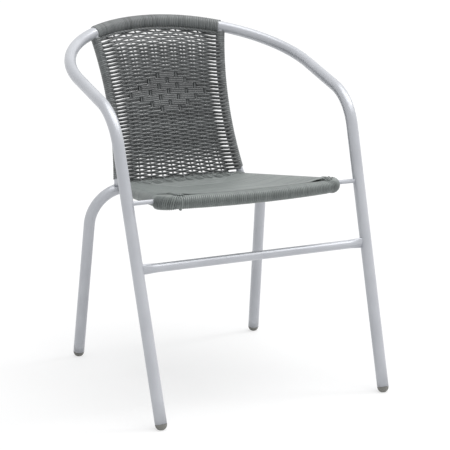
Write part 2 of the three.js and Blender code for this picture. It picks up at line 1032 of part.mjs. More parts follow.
function add(name, geometry, look) {
  const mesh = new THREE.Mesh(geometry, new THREE.MeshStandardMaterial(look));
  mesh.name = name;
  chair.add(mesh);
}

add("arm_hoop", armHoop(), paint);
add("rear_leg_arch", rearLegArch(), paint);
add("back_post_left", backPost(-1), paint);
add("back_post_right", backPost(1), paint);
add("seat_frame", seatFrame(), paint);
add("seat_stub_left", seatStub(-1), paint);
add("seat_stub_right", seatStub(1), paint);
add("front_stretcher", frontStretcher(), paint);

const right = new THREE.Vector3(1, 1, 1);
const left = new THREE.Vector3(-1, 1, 1);
[
  ["foot_cap_front_left", hoop, left],
  ["foot_cap_front_right", hoop, right],
  ["foot_cap_rear_left", arch, left],
  ["foot_cap_rear_right", arch, right],
].forEach(([name, leg, hand]) => {
  const foot = leg.foot.clone().multiply(hand);
  const direction = leg.legDirection.clone().multiply(hand);
  add(name, footCap(foot, direction), capPlastic);
});

add("rail_winding", railWinding(), strand);
add("seat_front_winding", frontWinding(), seatStrand);
add("post_winding_left", postWinding(-1, "post_winding_left"), strand);
add("post_winding_right", postWinding(1, "post_winding_right"), strand);
add("side_winding_left", sideWinding(-1, "side_winding_left"), seatStrand);
add("side_winding_right", sideWinding(1, "side_winding_right"), seatStrand);
add("rear_bar_winding", barWinding(), seatStrand);
add("back_weave", backWeave(), strand);
warpPlaceShares.forEach((share, i) => {
  add("back_warp_" + (i + 1), warpStrand(share), strand);
});
add("rail_edge_strand", edgeStrand(), strand);
add("seat_weave", seatWeave(), seatStrand);

export default chair;
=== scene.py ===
import math

import bpy
import numpy as np
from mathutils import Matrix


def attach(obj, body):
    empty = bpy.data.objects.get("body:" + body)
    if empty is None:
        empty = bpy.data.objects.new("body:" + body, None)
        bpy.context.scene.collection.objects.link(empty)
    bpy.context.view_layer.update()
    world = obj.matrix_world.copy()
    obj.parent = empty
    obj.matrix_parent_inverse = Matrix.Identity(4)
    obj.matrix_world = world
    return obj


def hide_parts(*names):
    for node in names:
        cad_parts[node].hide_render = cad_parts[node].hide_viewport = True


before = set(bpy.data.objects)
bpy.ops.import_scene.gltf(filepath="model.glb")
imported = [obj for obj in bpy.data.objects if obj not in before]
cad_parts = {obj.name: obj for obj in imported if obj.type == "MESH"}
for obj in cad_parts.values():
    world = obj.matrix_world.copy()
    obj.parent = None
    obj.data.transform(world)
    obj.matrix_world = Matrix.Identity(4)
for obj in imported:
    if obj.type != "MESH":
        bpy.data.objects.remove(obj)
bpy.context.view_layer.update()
scene = bpy.context.scene
dice = np.random.default_rng(7)
MM = 0.001
MIRROR = np.array([-1, 1, 1])
UP = np.array([0, 0, 1.0])
FRONT = np.array([0, -1.0, 0])
REAR = np.array([0, 1.0, 0])
NEARLY_PARALLEL = 0.9

# Camera at the photograph's place, which is in metres
CAMERA_PLACE = (-1.47866, -3.00618, 1.08897)
CAMERA_TURN = (math.radians(90 - 12.949), 0, math.radians(-26.7465))
CAMERA_LENS = 129.80
CAMERA_SENSOR = 36

# Main tube, from the front feet over the arms to the top rail
TUBE_RADIUS = 12
FOOT = np.array([252.0, -301.0, 0.0])
ARM_CORNER = np.array([265.9, -119.1, 589.6])
ARM_BEND = 112.5
WIDE = np.array([269.7, 58.2, 641.1])
RAIL_SETBACK = 296.9
RAIL_HEIGHT = 723
BOW_LAG_SHARE = 0.0745
CAP_LIFT = 11.5

# Rear legs and cross bar
BAR_SETBACK = 151.6
BAR_HEIGHT = 384.2
REAR_FOOT = np.array([218.9, 216.0, 0.0])
REAR_CORNER = np.array([205.1, BAR_SETBACK, BAR_HEIGHT])
REAR_BEND = 79.5

# Back posts
POST_RADIUS = 8
POST_FOOT_SPAN = 149.9
POST_FOOT_FORWARD = 10.1
POST_WAIST_SPAN = 134.8
POST_WAIST_HEIGHT = 538
POST_TOP_SPAN = 153
POST_LIFT = 7

# Seat frame
SEAT_SPAN = 200.2
SEAT_REACH = 198.3
SEAT_HEIGHT = 423.7
SEAT_BULGE = 23
SEAT_CORNER = 38
SEAT_REAR_SPAN = 133
SEAT_REAR_DROP = 3

# Points along the tubes
BEND_STEPS = 22
BOW_STEPS = 60
LEG_STEPS = 11
ARM_STEPS = 5
POST_STEPS = 40
TUBE_SIDES = 32
POST_SIDES = 24
STRAND_SIDES = 8


def unit(v):
    return v / np.linalg.norm(v, axis=-1, keepdims=True)


def ease(x, start, end):
    """0 before the start, 1 past the end, and smooth between. The end may be the lower value."""
    share = np.clip((x - start) / (end - start), 0, 1)
    return share * share * (3 - 2 * share)


def between(start, end, shares):
    """Points at shares of the way from one place to another."""
    return start + (end - start) * np.asarray(shares)[..., None]


# Paths of the frame
def rounded_corner(before, corner, after, radius, steps):
    """Points of a corner rounded to a radius."""
    to_before = unit(before - corner)
    to_after = unit(after - corner)
    opening = math.acos(float(np.dot(to_before, to_after)))
    setback = radius / math.tan(opening / 2)
    inward = unit(to_before + to_after)
    centre = corner + inward * radius / math.sin(opening / 2)
    start = corner + to_before * setback - centre
    end = corner + to_after * setback - centre
    turn = math.pi - opening
    share = np.linspace(0, 1, steps + 1)[:, None]
    mix = start * np.sin((1 - share) * turn) + end * np.sin(share * turn)
    return centre + mix / math.sin(turn)


def symmetric(half):
    """A whole path from its right half, which ends on the middle plane."""
    return np.vstack([half * MIRROR, half[:-1][::-1]])


def bow_point(angle):
    """Place on the bow from the wide point of the arm, at 0, to the middle of the rail."""
    back = np.sin(angle)
    rise = back - BOW_LAG_SHARE * back * (1 - back)
    return np.stack(
        [
            WIDE[0] * np.cos(angle),
            WIDE[1] + (RAIL_SETBACK - WIDE[1]) * back,
            WIDE[2] + (RAIL_HEIGHT - WIDE[2]) * rise,
        ],
        axis=-1,
    )


def rail_at(x):
    """Place on the rail's axis, at a distance from the middle plane."""
    x = np.asarray(x, float)
    point = bow_point(np.arccos(np.clip(np.abs(x) / WIDE[0], 0, 1)))
    point[..., 0] = x
    return point


RAIL_POST = rail_at(POST_TOP_SPAN)


def post_at(height):
    """Place on the right post's axis, at a height."""
    height = np.asarray(height, float)
    low = height < POST_WAIST_HEIGHT
    end = np.where(low, BAR_HEIGHT, RAIL_POST[2])
    spread = np.where(low, POST_FOOT_SPAN, POST_TOP_SPAN)
    share = (height - POST_WAIST_HEIGHT) / (end - POST_WAIST_HEIGHT)
    climb = (height - BAR_HEIGHT) / (RAIL_POST[2] - BAR_HEIGHT)
    foot_y = BAR_SETBACK - POST_FOOT_FORWARD
    return np.stack(
        [
            POST_WAIST_SPAN + (spread - POST_WAIST_SPAN) * share * share,
            foot_y + (RAIL_POST[1] - foot_y) * climb,
            height,
        ],
        axis=-1,
    )


def seat_front_point(x):
    """Place on the seat's front rail, at a distance from the middle plane."""
    x = np.asarray(x, float)
    share = x / SEAT_SPAN
    return np.stack(
        [x, -SEAT_REACH - SEAT_BULGE * (1 - share * share), x * 0 + SEAT_HEIGHT],
        axis=-1,
    )


SEAT_FRONT_CORNER = seat_front_point(SEAT_SPAN)
SEAT_REAR = np.array([SEAT_REAR_SPAN, BAR_SETBACK, BAR_HEIGHT - SEAT_REAR_DROP])


def side_rail_at(y):
    """Place on the right side rail, at a setback."""
    start = SEAT_FRONT_CORNER[1]
    share = (np.asarray(y, float) - start) / (SEAT_REAR[1] - start)
    return between(SEAT_FRONT_CORNER, SEAT_REAR, share)


def hoop_path():
    direction = unit(ARM_CORNER - FOOT)
    start = FOOT + direction * CAP_LIFT
    bend = rounded_corner(FOOT, ARM_CORNER, WIDE, ARM_BEND, BEND_STEPS)
    bow = bow_point(np.linspace(0, math.pi / 2, BOW_STEPS + 1))
    leg = between(start, bend[0], np.linspace(0, 1, LEG_STEPS + 1)[:-1])
    arm = between(bend[-1], bow[0], np.linspace(0, 1, ARM_STEPS + 1)[1:-1])
    return symmetric(np.vstack([leg, bend, arm, bow]))


def arch_path():
    direction = unit(REAR_CORNER - REAR_FOOT)
    start = REAR_FOOT + direction * CAP_LIFT
    middle = np.array([0, BAR_SETBACK, BAR_HEIGHT])
    bend = rounded_corner(REAR_FOOT, REAR_CORNER, middle, REAR_BEND, BEND_STEPS)
    leg = between(start, bend[0], np.linspace(0, 1, LEG_STEPS + 1)[:-1])
    return symmetric(np.vstack([leg, bend, middle[None, :]]))


# Swept strands
class Strands:
    """Swept strands that become one mesh."""

    def __init__(self):
        self.points = []
        self.quads = []
        self.caps = []
        self.tones = []
        self.count = 0

    def add(self, path, facing, size, tone=0.0, sides=STRAND_SIDES):
        """Sweep an oval section, as wide as size[0] and size[1] deep along the facing direction."""
        path = np.asarray(path, float)
        facing = np.broadcast_to(np.asarray(facing, float), path.shape)
        width, depth = (np.broadcast_to(s, (len(path),))[:, None, None] / 2 for s in size)
        along = unit(np.gradient(path, axis=0))
        facing = unit(facing - along * np.sum(facing * along, axis=1)[:, None])
        across = np.cross(along, facing)
        turn = 2 * math.pi * (np.arange(sides)[None, :, None] + 0.5) / sides
        sideways = across[:, None, :] * (np.cos(turn) * width)
        outward = facing[:, None, :] * (np.sin(turn) * depth)
        self.add_rings(path[:, None, :] + sideways + outward, tone)

    def add_rings(self, rings, tone):
        """Join rings of points into a closed skin."""
        n, sides = rings.shape[:2]
        base = self.count
        k = np.arange(n - 1)[:, None] * sides + base
        i = np.arange(sides)[None, :]
        j = (i + 1) % sides
        quads = np.stack([k + i, k + sides + i, k + sides + j, k + j], axis=-1)
        self.quads.append(quads.reshape(-1, 4))
        self.points.append(rings.reshape(-1, 3))
        self.tones.append(np.repeat(np.broadcast_to(tone, (n,)), sides))
        self.count += n * sides
        self.caps.append(np.arange(base, base + sides))
        self.caps.append(np.arange(self.count - sides, self.count)[::-1])

    def mesh(self, name):
        points = np.vstack(self.points) * MM
        quads = np.vstack(self.quads)
        corners = np.concatenate([quads.ravel(), *self.caps])
        sizes = np.array([4] * len(quads) + [len(cap) for cap in self.caps])
        starts = np.concatenate([[0], np.cumsum(sizes)[:-1]])
        mesh = bpy.data.meshes.new(name)
        mesh.vertices.add(len(points))
        mesh.vertices.foreach_set("co", points.astype(np.float32).ravel())
        mesh.loops.add(len(corners))
        mesh.loops.foreach_set("vertex_index", corners.astype(np.int32))
        mesh.polygons.add(len(sizes))
        mesh.polygons.foreach_set("loop_start", starts.astype(np.int32))
        mesh.polygons.foreach_set("use_smooth", np.arange(len(sizes)) < len(quads))
        mesh.update(calc_edges=True)
        mesh.validate()
        tone = mesh.attributes.new("tone", "FLOAT", "POINT")
        tone.data.foreach_set("value", np.concatenate(self.tones).astype(np.float32))
        return mesh

    def piece(self, name, material, replaced=()):
        """Put the strands into the scene as one piece on the chair's only body."""
        mesh = self.mesh(name)
        mesh.materials.append(material)
        made = bpy.data.objects.new(name, mesh)
        scene.collection.objects.link(made)
        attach(made, "root")
        if replaced:
            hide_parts(*replaced)


class Route:
    """One long strand that is gathered stretch by stretch, with one tone for each turn."""

    def __init__(self):
        self.points = []
        self.facings = []
        self.tones = []
        self.untoned = 0

    def stretch(self, points, facing):
        self.points.append(points)
        self.facings.append(np.broadcast_to(facing, points.shape))
        self.untoned += len(points)

    def end_turn(self, tone):
        self.tones.append(np.full(self.untoned, tone))
        self.untoned = 0

    def gathered(self):
        return np.vstack(self.points), np.vstack(self.facings), np.concatenate(self.tones)


def transport(path, start):
    """Facing directions along a path that turn as little as they can."""
    along = unit(np.gradient(path, axis=0))
    now = np.array(start, float)
    if abs(np.dot(unit(now), along[0])) > NEARLY_PARALLEL:
        now = REAR
    facings = []
    for t in along:
        now = unit(now - t * np.dot(now, t))
        facings.append(now)
    return np.array(facings)


def ring_round(out, turn):
    """Directions round an axis, where 0 points outward and a quarter turn points up."""
    return out * np.cos(turn)[:, None] + UP * np.sin(turn)[:, None]


def outer_half(out, points):
    """Directions from straight below, round the outside, to straight above."""
    return ring_round(out, np.linspace(-math.pi / 2, math.pi / 2, points))


def spiral(path, points_per_turn, start=0.0):
    """Outward directions that turn round a path."""
    along = unit(np.gradient(path, axis=0))
    first = transport(path, UP)
    second = np.cross(along, first)
    turn = start + 2 * math.pi * np.arange(len(path)) / points_per_turn
    return first * np.cos(turn)[:, None] + second * np.sin(turn)[:, None]


def resample(path, steps, count):
    """Evenly spaced points on a path whose steps have these lengths."""
    run = np.concatenate([[0], np.cumsum(steps)])
    want = np.linspace(0, run[-1], count)
    return np.stack([np.interp(want, run, path[:, i]) for i in range(3)], axis=1)


def wind(made, path, radius, pitch, size, points_per_turn, tone):
    """Close turns of strand round a path. The tone is a pair: its middle, and its spread."""
    steps = np.linalg.norm(np.diff(path, axis=0), axis=1)
    turns = round(float(np.sum(steps)) / pitch)
    count = turns * points_per_turn + 1
    centre = resample(path, steps, count)
    out = spiral(centre, points_per_turn)
    middle, spread = tone
    per_turn = dice.uniform(-spread, spread, turns + 1)
    tones = middle + per_turn[np.arange(count) // points_per_turn]
    made.add(centre + out * radius, out, size, tones)


# Materials
GRAIN_DEPTH_METRES = 0.0002
CLOUD_TONE = 0.35
PAINT_DARK = (0.530, 0.545, 0.580)
PAINT_LIGHT = (0.575, 0.590, 0.625)
CAP_DARK = (0.225, 0.222, 0.205)
CAP_LIGHT = (0.285, 0.282, 0.262)
BACK_DARK = (0.042, 0.044, 0.046)
BACK_LIGHT = (0.210, 0.223, 0.223)
SEAT_DARK = (0.125, 0.141, 0.137)
SEAT_LIGHT = (0.250, 0.276, 0.266)


def node_material(name):
    material = bpy.data.materials.new(name)
    material.use_nodes = True
    nodes = material.node_tree.nodes
    return material, nodes, material.node_tree.links, nodes["Principled BSDF"]


def noise(nodes, links, scale, detail):
    place = nodes.new("ShaderNodeTexCoord")
    texture = nodes.new("ShaderNodeTexNoise")
    texture.inputs["Scale"].default_value = scale
    texture.inputs["Detail"].default_value = detail
    links.new(place.outputs["Object"], texture.inputs["Vector"])
    return texture.outputs["Fac"]


def colour_between(nodes, links, shader, source, dark, light):
    """Colour the shader by a source's value. Dark and light are pairs of value and colour."""
    ramp = nodes.new("ShaderNodeValToRGB")
    links.new(source, ramp.inputs["Fac"])
    for element, (value, colour) in zip(ramp.color_ramp.elements, (dark, light)):
        element.position = value
        element.color = (*colour, 1)
    links.new(ramp.outputs["Color"], shader.inputs["Base Color"])


def roughness_between(nodes, links, shader, source, low, high):
    span = nodes.new("ShaderNodeMapRange")
    span.inputs["To Min"].default_value = low
    span.inputs["To Max"].default_value = high
    links.new(source, span.inputs["Value"])
    links.new(span.outputs["Result"], shader.inputs["Roughness"])


def bump(nodes, links, shader, source, strength):
    grain = nodes.new("ShaderNodeBump")
    grain.inputs["Strength"].default_value = strength
    grain.inputs["Distance"].default_value = GRAIN_DEPTH_METRES
    links.new(source, grain.inputs["Height"])
    links.new(grain.outputs["Normal"], shader.inputs["Normal"])


def paint_material():
    """Satin powder coat with a slight cloud and a fine grain."""
    material, nodes, links, shader = node_material("powder_coat")
    cloud = noise(nodes, links, scale=14, detail=3)
    grain = noise(nodes, links, scale=1400, detail=2)
    colour_between(nodes, links, shader, cloud, (0.35, PAINT_DARK), (0.65, PAINT_LIGHT))
    roughness_between(nodes, links, shader, cloud, low=0.3, high=0.4)
    shader.inputs["Metallic"].default_value = 0.25
    shader.inputs["Coat Weight"].default_value = 0.2
    shader.inputs["Coat Roughness"].default_value = 0.2
    bump(nodes, links, shader, grain, strength=0.12)
    return material


def strand_material(name, dark, light):
    """Extruded plastic strand, whose colour follows the mesh's tone and a small cloud."""
    material, nodes, links, shader = node_material(name)
    # The tone holds random differences between strands, and also painted highlights and painted
    # shade on some of them
    tone = nodes.new("ShaderNodeAttribute")
    tone.attribute_name = "tone"
    cloud = noise(nodes, links, scale=60, detail=3)
    streak = noise(nodes, links, scale=900, detail=2)
    clouded = nodes.new("ShaderNodeMath")
    clouded.operation = "MULTIPLY_ADD"
    clouded.inputs[1].default_value = CLOUD_TONE
    links.new(cloud, clouded.inputs[0])
    links.new(tone.outputs["Fac"], clouded.inputs[2])
    colour_between(nodes, links, shader, clouded.outputs[0], (0.0, dark), (0.9, light))
    roughness_between(nodes, links, shader, streak, low=0.34, high=0.46)
    shader.inputs["Specular IOR Level"].default_value = 0.75
    bump(nodes, links, shader, streak, strength=0.15)
    return material


def cap_material():
    """Dull moulded plastic of the foot caps."""
    material, nodes, links, shader = node_material("cap_plastic")
    cloud = noise(nodes, links, scale=90, detail=3)
    grain = noise(nodes, links, scale=1800, detail=2)
    colour_between(nodes, links, shader, cloud, (0.3, CAP_DARK), (0.7, CAP_LIGHT))
    roughness_between(nodes, links, shader, grain, low=0.5, high=0.65)
    bump(nodes, links, shader, grain, strength=0.2)
    return material


PAINT = paint_material()
CAP = cap_material()
BACK = strand_material("back_strand", BACK_DARK, BACK_LIGHT)
SEAT = strand_material("seat_strand", SEAT_DARK, SEAT_LIGHT)


# Frame
def tube(name, path, radius, replaced, sides):
    made = Strands()
    made.add(path, transport(path, UP), (2 * radius, 2 * radius), sides=sides)
    made.piece(name, PAINT, (replaced,))


def post_path(side, foot, head, steps):
    return post_at(np.linspace(foot, head, steps + 1)) * np.array([side, 1, 1])


def make_tubes():
    tube("hoop_tube", hoop_path(), TUBE_RADIUS, "arm_hoop", TUBE_SIDES)
    tube("arch_tube", arch_path(), TUBE_RADIUS, "rear_leg_arch", TUBE_SIDES)
    for side, word in ((-1, "left"), (1, "right")):
        path = post_path(side, BAR_HEIGHT + POST_LIFT, RAIL_POST[2], POST_STEPS)
        tube("post_tube_" + word, path, POST_RADIUS, "back_post_" + word, POST_SIDES)


def coat(names, material):
    """Give the source's own pieces a material."""
    for name in names:
        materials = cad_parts[name].data.materials
        materials.clear()
        materials.append(material)


def make_frame():
    make_tubes()
    coat(("seat_frame", "seat_stub_left", "seat_stub_right", "front_stretcher"), PAINT)
    corners = ("front_left", "front_right", "rear_left", "rear_right")
    coat(["foot_cap_" + corner for corner in corners], CAP)


# Windings of the rail and the posts: pairs are a strand's width and depth
RAIL_WIND_SPAN = 150
RAIL_WIND_RADIUS = 12.5
RAIL_WIND_PITCH = 4.3
RAIL_WIND_STRAND = (4.7, 4.2)
RAIL_WIND_STEPS = 120
RAIL_WIND_TURN_POINTS = 24
RAIL_WIND_TONE = 0.72
RAIL_WIND_TONE_SPREAD = 0.35
POST_WIND_FOOT = 405
POST_WIND_TOP_SPACE = 11.5
POST_WIND_RADIUS = 8.8
POST_WIND_PITCH = 4.2
POST_WIND_STRAND = (4.6, 3.2)
POST_WIND_STEPS = 60
POST_WIND_TURN_POINTS = 18
POST_WIND_TONE = 0.45
POST_WIND_TONE_SPREAD = 0.2


def wind_rail():
    made = Strands()
    path = rail_at(np.linspace(-RAIL_WIND_SPAN, RAIL_WIND_SPAN, RAIL_WIND_STEPS + 1))
    tone = (RAIL_WIND_TONE, RAIL_WIND_TONE_SPREAD)
    size = RAIL_WIND_STRAND
    wind(made, path, RAIL_WIND_RADIUS, RAIL_WIND_PITCH, size, RAIL_WIND_TURN_POINTS, tone)
    made.piece("rail_wrap", BACK, ("rail_winding",))


def wind_posts():
    for side, word in ((-1, "left"), (1, "right")):
        made = Strands()
        head = RAIL_POST[2] - POST_WIND_TOP_SPACE
        path = post_path(side, POST_WIND_FOOT, head, POST_WIND_STEPS)
        tone = (POST_WIND_TONE, POST_WIND_TONE_SPREAD)
        size = POST_WIND_STRAND
        wind(made, path, POST_WIND_RADIUS, POST_WIND_PITCH, size, POST_WIND_TURN_POINTS, tone)
        made.piece("post_wrap_" + word, BACK, ("post_winding_" + word,))


# Surface of the seat: how far its layers lie from the rails, and how far the middle has sunk
SEAT_DIP = 11
SEAT_LIFT = 3
SEAT_DISH = 110
SEAT_LAYER = 12.3
SIDE_LAYER = 10.9


def seat_plane(y):
    """Height of the plane through the rails."""
    return side_rail_at(np.maximum(y, -SEAT_REACH))[..., 2]


def dish(x, y):
    """How far the seat has sunk below its rails, from 0 to 1."""
    to_side = side_rail_at(y)[..., 0] - np.abs(x)
    to_front = y - seat_front_point(x)[..., 1]
    to_rear = BAR_SETBACK - y
    near = np.minimum(np.minimum(to_side, to_front), to_rear)
    return ease(near, 0, SEAT_DISH)


def seat_top(x, y):
    """Height of the upper layer of strand."""
    return seat_plane(y) + SEAT_LAYER - SEAT_DIP * dish(x, y)


def seat_underside(x, y, layer):
    """Height of a layer of strand under the seat."""
    return seat_plane(y) - layer + SEAT_LIFT * dish(x, y)


# Surface of the woven back: columns -5 and 5 are the posts, -4 to 4 the upright strands
LAST_COLUMN = 5
COLUMNS = np.arange(-LAST_COLUMN, LAST_COLUMN + 1)
WARP_SHARES = (-0.696, -0.49, -0.295, -0.111, 0.06, 0.237, 0.398, 0.57, 0.756)
COLUMN_SHARES = np.concatenate([[-1.0], WARP_SHARES, [1.0]])
PANEL_FOOT = BAR_HEIGHT + 16
PANEL_TOP_DROP = 17
PANEL_TOP_SPAN = 140
PANEL_POST_SPACE = 11.3
PANEL_SIDE_SHARE = 0.999
BACK_BEND_DEPTH = 30
BACK_BULGE = 11
COLUMN_STEP = 0.01
LEVEL_STEP = 0.002


def panel_point(column, level):
    """Place on the woven back, with level 0 at the seat and 1 under the rail."""
    column = np.asarray(column, float)
    level = np.asarray(level, float) + 0 * column
    share = np.interp(column, COLUMNS, COLUMN_SHARES)
    top = rail_at(share * PANEL_TOP_SPAN)
    top_z = top[..., 2] - PANEL_TOP_DROP
    height = PANEL_FOOT + (top_z - PANEL_FOOT) * level
    post = post_at(np.minimum(height, RAIL_POST[2]))
    below = np.clip((top_z - height) / BACK_BEND_DEPTH, 0, 1)
    bend = (1 - below) ** 2
    inside = np.abs(share) < PANEL_SIDE_SHARE
    half = np.where(inside, post[..., 0] - PANEL_POST_SPACE, post[..., 0])
    y = post[..., 1] + (np.maximum(top[..., 1], post[..., 1]) - post[..., 1]) * bend
    y = y + BACK_BULGE * (1 - share**2) * 4 * level * (1 - level)
    return np.stack([share * half, y, height], axis=-1)


def panel_normal(column, level):
    right = panel_point(column + COLUMN_STEP, level)
    left = panel_point(column - COLUMN_STEP, level)
    above = panel_point(column, level + LEVEL_STEP)
    below = panel_point(column, level - LEVEL_STEP)
    return unit(np.cross(right - left, above - below))


# Crossing strands of the back
WEFT_ROWS = 77
WEFT_ROW_SHARE = 0.3
WEFT_COLUMN_STEPS = 16
WEFT_WIDTH = 4.45
WEFT_DEPTH = 2.8
WEFT_SWING = 2.1
WEFT_JITTER = 0.1
WEFT_TONE = 0.2
WEFT_TONE_SPREAD = 0.15
POST_SPACE = 1.6
LEAN_LOW_SHARE = 0.205
LEAN_HIGH_SHARE = 0.115
TOP_ROW_DEPTH = 2.6
TOP_ROW_LEVELS = (0.9, 0.98)
HELD_WIDTH_SHARE = 0.14
# Painted shade on the three rows held by the motif, which lie flush and cast little shadow
HELD_PAINTED_SHADE = 0.13

# Openings between the rows. A pair is the start and end of a change, or a range of chance.
OPEN_ALWAYS = 0.08
OPEN_TOP = 0.95
OPEN_TOP_LEVELS = (0.62, 0.96)
OPEN_FOOT = 1.25
OPEN_FOOT_LEVELS = (0.2, 0.03)
OPEN_RIGHT = 0.25
OPEN_RIGHT_COLUMNS = (1, 5)
OPEN_LEFT = 0.12
OPEN_LEFT_COLUMNS = (-2, -5)
OPEN_UNEVEN_SHARES = (0.85, 1.15)
OPEN_SWING_SHARE = 0.5
OPEN_SWING_RUN_SHARE = 0.5
LONGER_TOP_SHARE = 0.3
LONGER_TOP_LEVELS = (0.78, 0.96)
LONGER_FOOT_SHARE = 0.25
LONGER_FOOT_LEVELS = (0.2, 0.05)
POST_CLOSED_SHARE = 0.5

# Slits beside the posts, where neighbouring rows part
CROSS_POWER = 0.63
SLIT_LEFT = 0.5
SLIT_RIGHT = 1.6
SLIT_UNEVEN_SHARES = (0.5, 1.2)
SLIT_START_SHARE = 0.5
SLIT_RUN_SHARE = 0.32

# Motif: the middle one of each three rows, and the columns where these three tuck behind
MOTIF_CENTRES = (53, 50, 47, 44, 41, 38, 35)
MOTIF_TICKS = (
    (-1, 1),
    (-2, 0, 2),
    (-3, -1, 1, 3),
    (-4, -2, 0, 2, 4),
    (-3, -1, 1, 3),
    (-2, 0, 2),
    (-1, 1),
)
TICK_DEPTH = 1.6
TICK_SHARE = 0.1
TICK_SET_SHARE = 0.03
TICK_SLOPE_SHARE = 0.13


def weft_course():
    """Points across the back, and three things about each.

    They are the column on its left, its share of the way to the next column, and its share of
    the way from the last upright strand to the post, plain and quickened.
    """
    last = LAST_COLUMN
    warp = last - 1
    across = np.linspace(-last, last, 2 * last * WEFT_COLUMN_STEPS + 1)
    low = np.clip(np.floor(across).astype(int), -last, warp)
    edge = np.clip(np.abs(across) - warp, 0, 1)
    cross = edge**CROSS_POWER
    part = across - low
    part = np.where(across > warp, cross, np.where(across < -warp, 1 - cross, part))
    return across, low + last, part, edge, cross


def weft_signs(row):
    """In front (1) or behind (-1) at each column, and free (1) or held by the motif (0)."""
    signs = np.where((row + COLUMNS) % 2 == 0, 1.0, -1.0)
    free = np.ones(len(COLUMNS))
    for centre, ticks in zip(MOTIF_CENTRES, MOTIF_TICKS):
        if abs(row - centre) <= 1:
            within = np.abs(COLUMNS) <= max(ticks)
            signs[within] = np.where(np.isin(COLUMNS[within], ticks), -1.0, 1.0)
            free[within] = 0.0
    return signs, free


def weft_swing(row, left, part):
    """Swing between front (1) and behind (-1), and how free of the motif each point is."""
    signs, free = weft_signs(row)
    blend = (1 - np.cos(math.pi * part)) / 2
    loose = free[left] * (1 - blend) + free[left + 1] * blend
    before = signs[left]
    after = signs[left + 1]
    soft = before * (1 - blend) + after * blend
    tick_end = TICK_SHARE - TICK_SET_SHARE
    tick_start = TICK_SHARE + TICK_SET_SHARE
    depart = ease(part, tick_end, tick_end + TICK_SLOPE_SHARE)
    arrive = ease(1 - part, tick_start, tick_start + TICK_SLOPE_SHARE)
    crisp = np.clip(np.minimum(before + 2 * depart, after + 2 * arrive), -1, 1)
    crisp = np.where(before == after, before, crisp)
    return soft * loose + crisp * (1 - loose), loose


def row_opening(level, across):
    """How far a row shifts at its crossings, which opens the weave at its top and its foot."""
    opening = OPEN_ALWAYS + OPEN_TOP * ease(level, *OPEN_TOP_LEVELS)
    opening += OPEN_FOOT * ease(level, *OPEN_FOOT_LEVELS)
    opening += OPEN_RIGHT * ease(across, *OPEN_RIGHT_COLUMNS)
    opening += OPEN_LEFT * ease(across, *OPEN_LEFT_COLUMNS)
    return opening * dice.uniform(*OPEN_UNEVEN_SHARES)


def opening_place(level, swing, edge):
    """Where that shift acts, from 0 to 1: on less of a middle row, and not over a post."""
    start = OPEN_SWING_SHARE - LONGER_TOP_SHARE * ease(level, *LONGER_TOP_LEVELS)
    start -= LONGER_FOOT_SHARE * ease(level, *LONGER_FOOT_LEVELS)
    place = ease(np.abs(swing), start, start + OPEN_SWING_RUN_SHARE)
    return place * (1 - ease(edge, 0, POST_CLOSED_SHARE))


def add_weft(made, row, course):
    """One crossing strand, from round one post to round the other."""
    across, left, part, edge, cross = course
    level = (row + WEFT_ROW_SHARE) / (WEFT_ROWS + 2 * WEFT_ROW_SHARE)
    swing, loose = weft_swing(row, left, part)
    opening = row_opening(level, across)
    slit = np.where(across > 0, SLIT_RIGHT, SLIT_LEFT) * dice.uniform(*SLIT_UNEVEN_SHARES)
    wobble = np.interp(across, COLUMNS, dice.normal(0, WEFT_JITTER, len(COLUMNS)))
    parted = np.clip((cross - SLIT_START_SHARE) / SLIT_RUN_SHARE, 0, 1)
    over_post = ease(edge, 0, 1)
    reach = (WEFT_SWING + TICK_DEPTH * (1 - loose) * (swing < 0)) * (1 - over_post)
    reach += (POST_RADIUS + POST_SPACE) * over_post
    shift = opening_place(level, swing, edge) * opening * loose + parted * slit
    lean = LEAN_LOW_SHARE + (LEAN_HIGH_SHARE - LEAN_LOW_SHARE) * level
    rise = lean * reach * swing * np.maximum(loose, edge)
    normal = unit(panel_normal(across, level) * np.array([1, 1, 0]))
    path = panel_point(across, level) + normal * (swing * reach)[:, None]
    path[:, 2] += wobble - np.sign(swing) * shift + rise
    width = WEFT_WIDTH * (1 + HELD_WIDTH_SHARE * (1 - loose))
    depth = WEFT_DEPTH + TOP_ROW_DEPTH * ease(level, *TOP_ROW_LEVELS)
    tone = WEFT_TONE + dice.uniform(-WEFT_TONE_SPREAD, WEFT_TONE_SPREAD)
    # Rows held by the motif get painted shade
    made.add(path, normal, (width, depth), tone - HELD_PAINTED_SHADE * (1 - loose))


def weave_back():
    made = Strands()
    course = weft_course()
    for row in range(WEFT_ROWS + 1):
        add_weft(made, row, course)
    made.piece("back_wefts", BACK, ("back_weave",))


# Upright strands of the back, which run on over the rear of the seat
WARP_STRAND = (4.2, 1.7)
WARP_TOP_LEVEL = 1.03
WARP_POINTS = 60
WARP_RUN = 42
WARP_RUN_POINTS = 11
WARP_CLIMB_SHARE = 0.35
WARP_LEAN_SHARE = 0.2
WARP_TONE = 0.3


def add_warp(made, column):
    levels = np.linspace(0, WARP_TOP_LEVEL, WARP_POINTS)
    columns = np.full(WARP_POINTS, float(column))
    climb = panel_point(columns, levels)
    run = np.linspace(1, 0, WARP_RUN_POINTS + 1)[:-1]
    flat = climb[0] + FRONT * WARP_RUN * run[:, None]
    flat[:, 2] = seat_top(flat[:, 0], flat[:, 1])
    flat[:, 2] += (climb[0][2] - flat[:, 2]) * ease(run, WARP_CLIMB_SHARE, 0)
    lean = unit(FRONT * (1 - run[:, None]) + UP * (run[:, None] + WARP_LEAN_SHARE))
    facing = np.vstack([lean, panel_normal(columns, levels)])
    made.add(np.vstack([flat, climb]), facing, WARP_STRAND, WARP_TONE)


def stand_warps():
    made = Strands()
    columns = COLUMNS[1:-1]
    for column in columns:
        add_warp(made, column)
    replaced = ["back_warp_%d" % (n + 1) for n in range(len(columns))]
    made.piece("back_warps", BACK, replaced)


